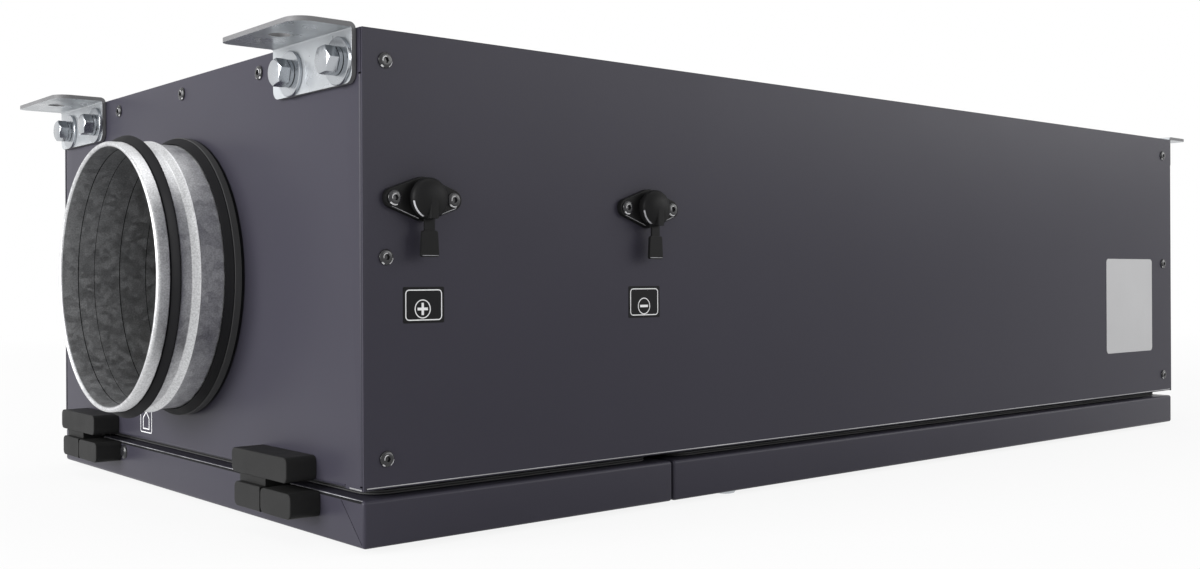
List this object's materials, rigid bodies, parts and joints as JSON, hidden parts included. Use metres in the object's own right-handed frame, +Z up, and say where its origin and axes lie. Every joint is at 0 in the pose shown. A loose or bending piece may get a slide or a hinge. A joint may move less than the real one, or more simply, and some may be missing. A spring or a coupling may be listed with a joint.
{
  "type": "air handling unit",
  "caption": "Flat ceiling-hung air handling unit: a lined sheet-steel casing with a round duct spigot at each end, corner hanging brackets and two hinged lids underneath.",
  "frame": {"origin": "centre of the casing's length and width, on the underside of the long lid", "axes": "+Z up, X along the air path, the front side with the pressure ports faces -Y"},
  "size_m": [0.9374, 0.4368, 0.2577],
  "materials": {
    "casing": "graphite powder coat, fine texture",
    "lining": "mineral wool with a matt facing",
    "zinc": "bright zinc plate",
    "galvanised": "galvanised, slightly grainy",
    "rubber": "matt black",
    "black_plastic": "matt black"
  },
  "bodies": {
    "housing": {"top_panel": "casing", "side_panel_front": "casing", "side_panel_back": "casing", "end_panel_near": "casing", "end_panel_far": "casing", "cross_rail": "casing", "lining_top": "lining", "lining_front": "lining", "lining_back": "lining", "lining_near": "lining", "lining_far": "lining", "spigot_near": "galvanised", "spigot_far": "galvanised", "spigot_seal_near": "rubber", "spigot_seal_far": "rubber", "spigot_gasket_near": "rubber", "spigot_gasket_far": "rubber", "bracket_near_front": "zinc", "bracket_near_back": "zinc", "bracket_far_front": "zinc", "bracket_far_back": "zinc", "hinge_leaf_near_front": "black_plastic", "hinge_leaf_near_back": "black_plastic", "hinge_leaf_far_front": "black_plastic", "hinge_leaf_far_back": "black_plastic", "pressure_port_1": "black_plastic", "pressure_port_2": "black_plastic", "port_cap_1": "black_plastic", "port_cap_2": "black_plastic"},
    "lid_short_body": {"lid_short": "casing", "lid_short_insulation": "lining", "lid_short_gasket": "rubber", "hinge_knuckle_near_front": "black_plastic", "hinge_knuckle_near_back": "black_plastic"},
    "lid_long_body": {"lid_long": "casing", "lid_long_insulation": "lining", "lid_long_gasket": "rubber", "hinge_knuckle_far_front": "black_plastic", "hinge_knuckle_far_back": "black_plastic"}
  },
  "joints": [
    {"name": "lid_short_hinge", "type": "hinge", "parent": "housing", "child": "lid_short_body", "pos_m": [-0.4288, 0, 0.017], "axis": [0, 1, 0], "range_deg": [0, 90]},
    {"name": "lid_long_hinge", "type": "hinge", "parent": "housing", "child": "lid_long_body", "pos_m": [0.4288, 0, 0.017], "axis": [0, -1, 0], "range_deg": [0, 90]}
  ]
}
